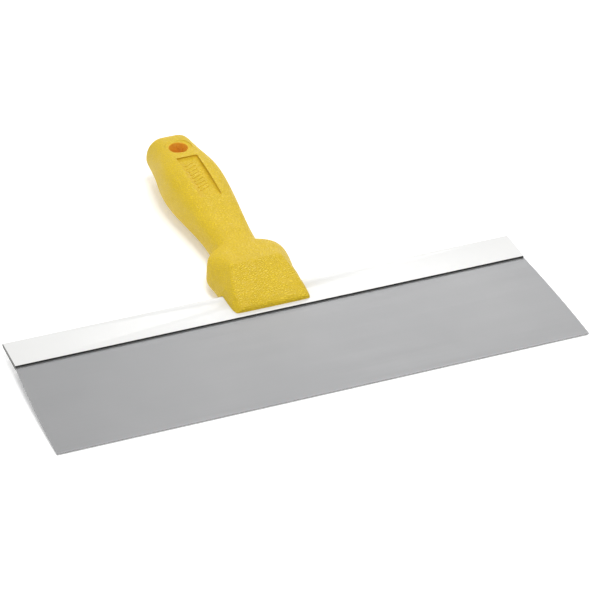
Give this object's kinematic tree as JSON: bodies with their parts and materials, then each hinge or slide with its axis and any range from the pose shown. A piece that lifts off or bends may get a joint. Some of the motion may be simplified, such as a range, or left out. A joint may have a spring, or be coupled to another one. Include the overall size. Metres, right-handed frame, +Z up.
{
  "type": "drywall taping knife",
  "caption": "Wide drywall taping knife: flexible steel blade in a folded white metal back rail, with a yellow moulded plastic handle, hang hole and clamped head",
  "frame": {"origin": "middle of the base, where the working edge and the belly of the grip touch the bench", "axes": "X along the blade, Y from the working edge to the butt of the handle, Z up"},
  "size_m": [0.254, 0.2087, 0.0231],
  "materials": {
    "spring_steel": "satin ground spring steel with fine scratches along the blade",
    "rail_coat": "smooth near-white coated sheet metal",
    "grip_plastic": "moulded yellow plastic with a fine leather grain",
    "screw_steel": "zinc-plated cross-recess screws"
  },
  "bodies": {
    "root": {"blade": "spring_steel", "back_rail": "rail_coat", "handle_shell": "grip_plastic", "handle_base": "grip_plastic", "jaw_screws": "screw_steel", "grip_screws": "screw_steel"}
  },
  "joints": []
}
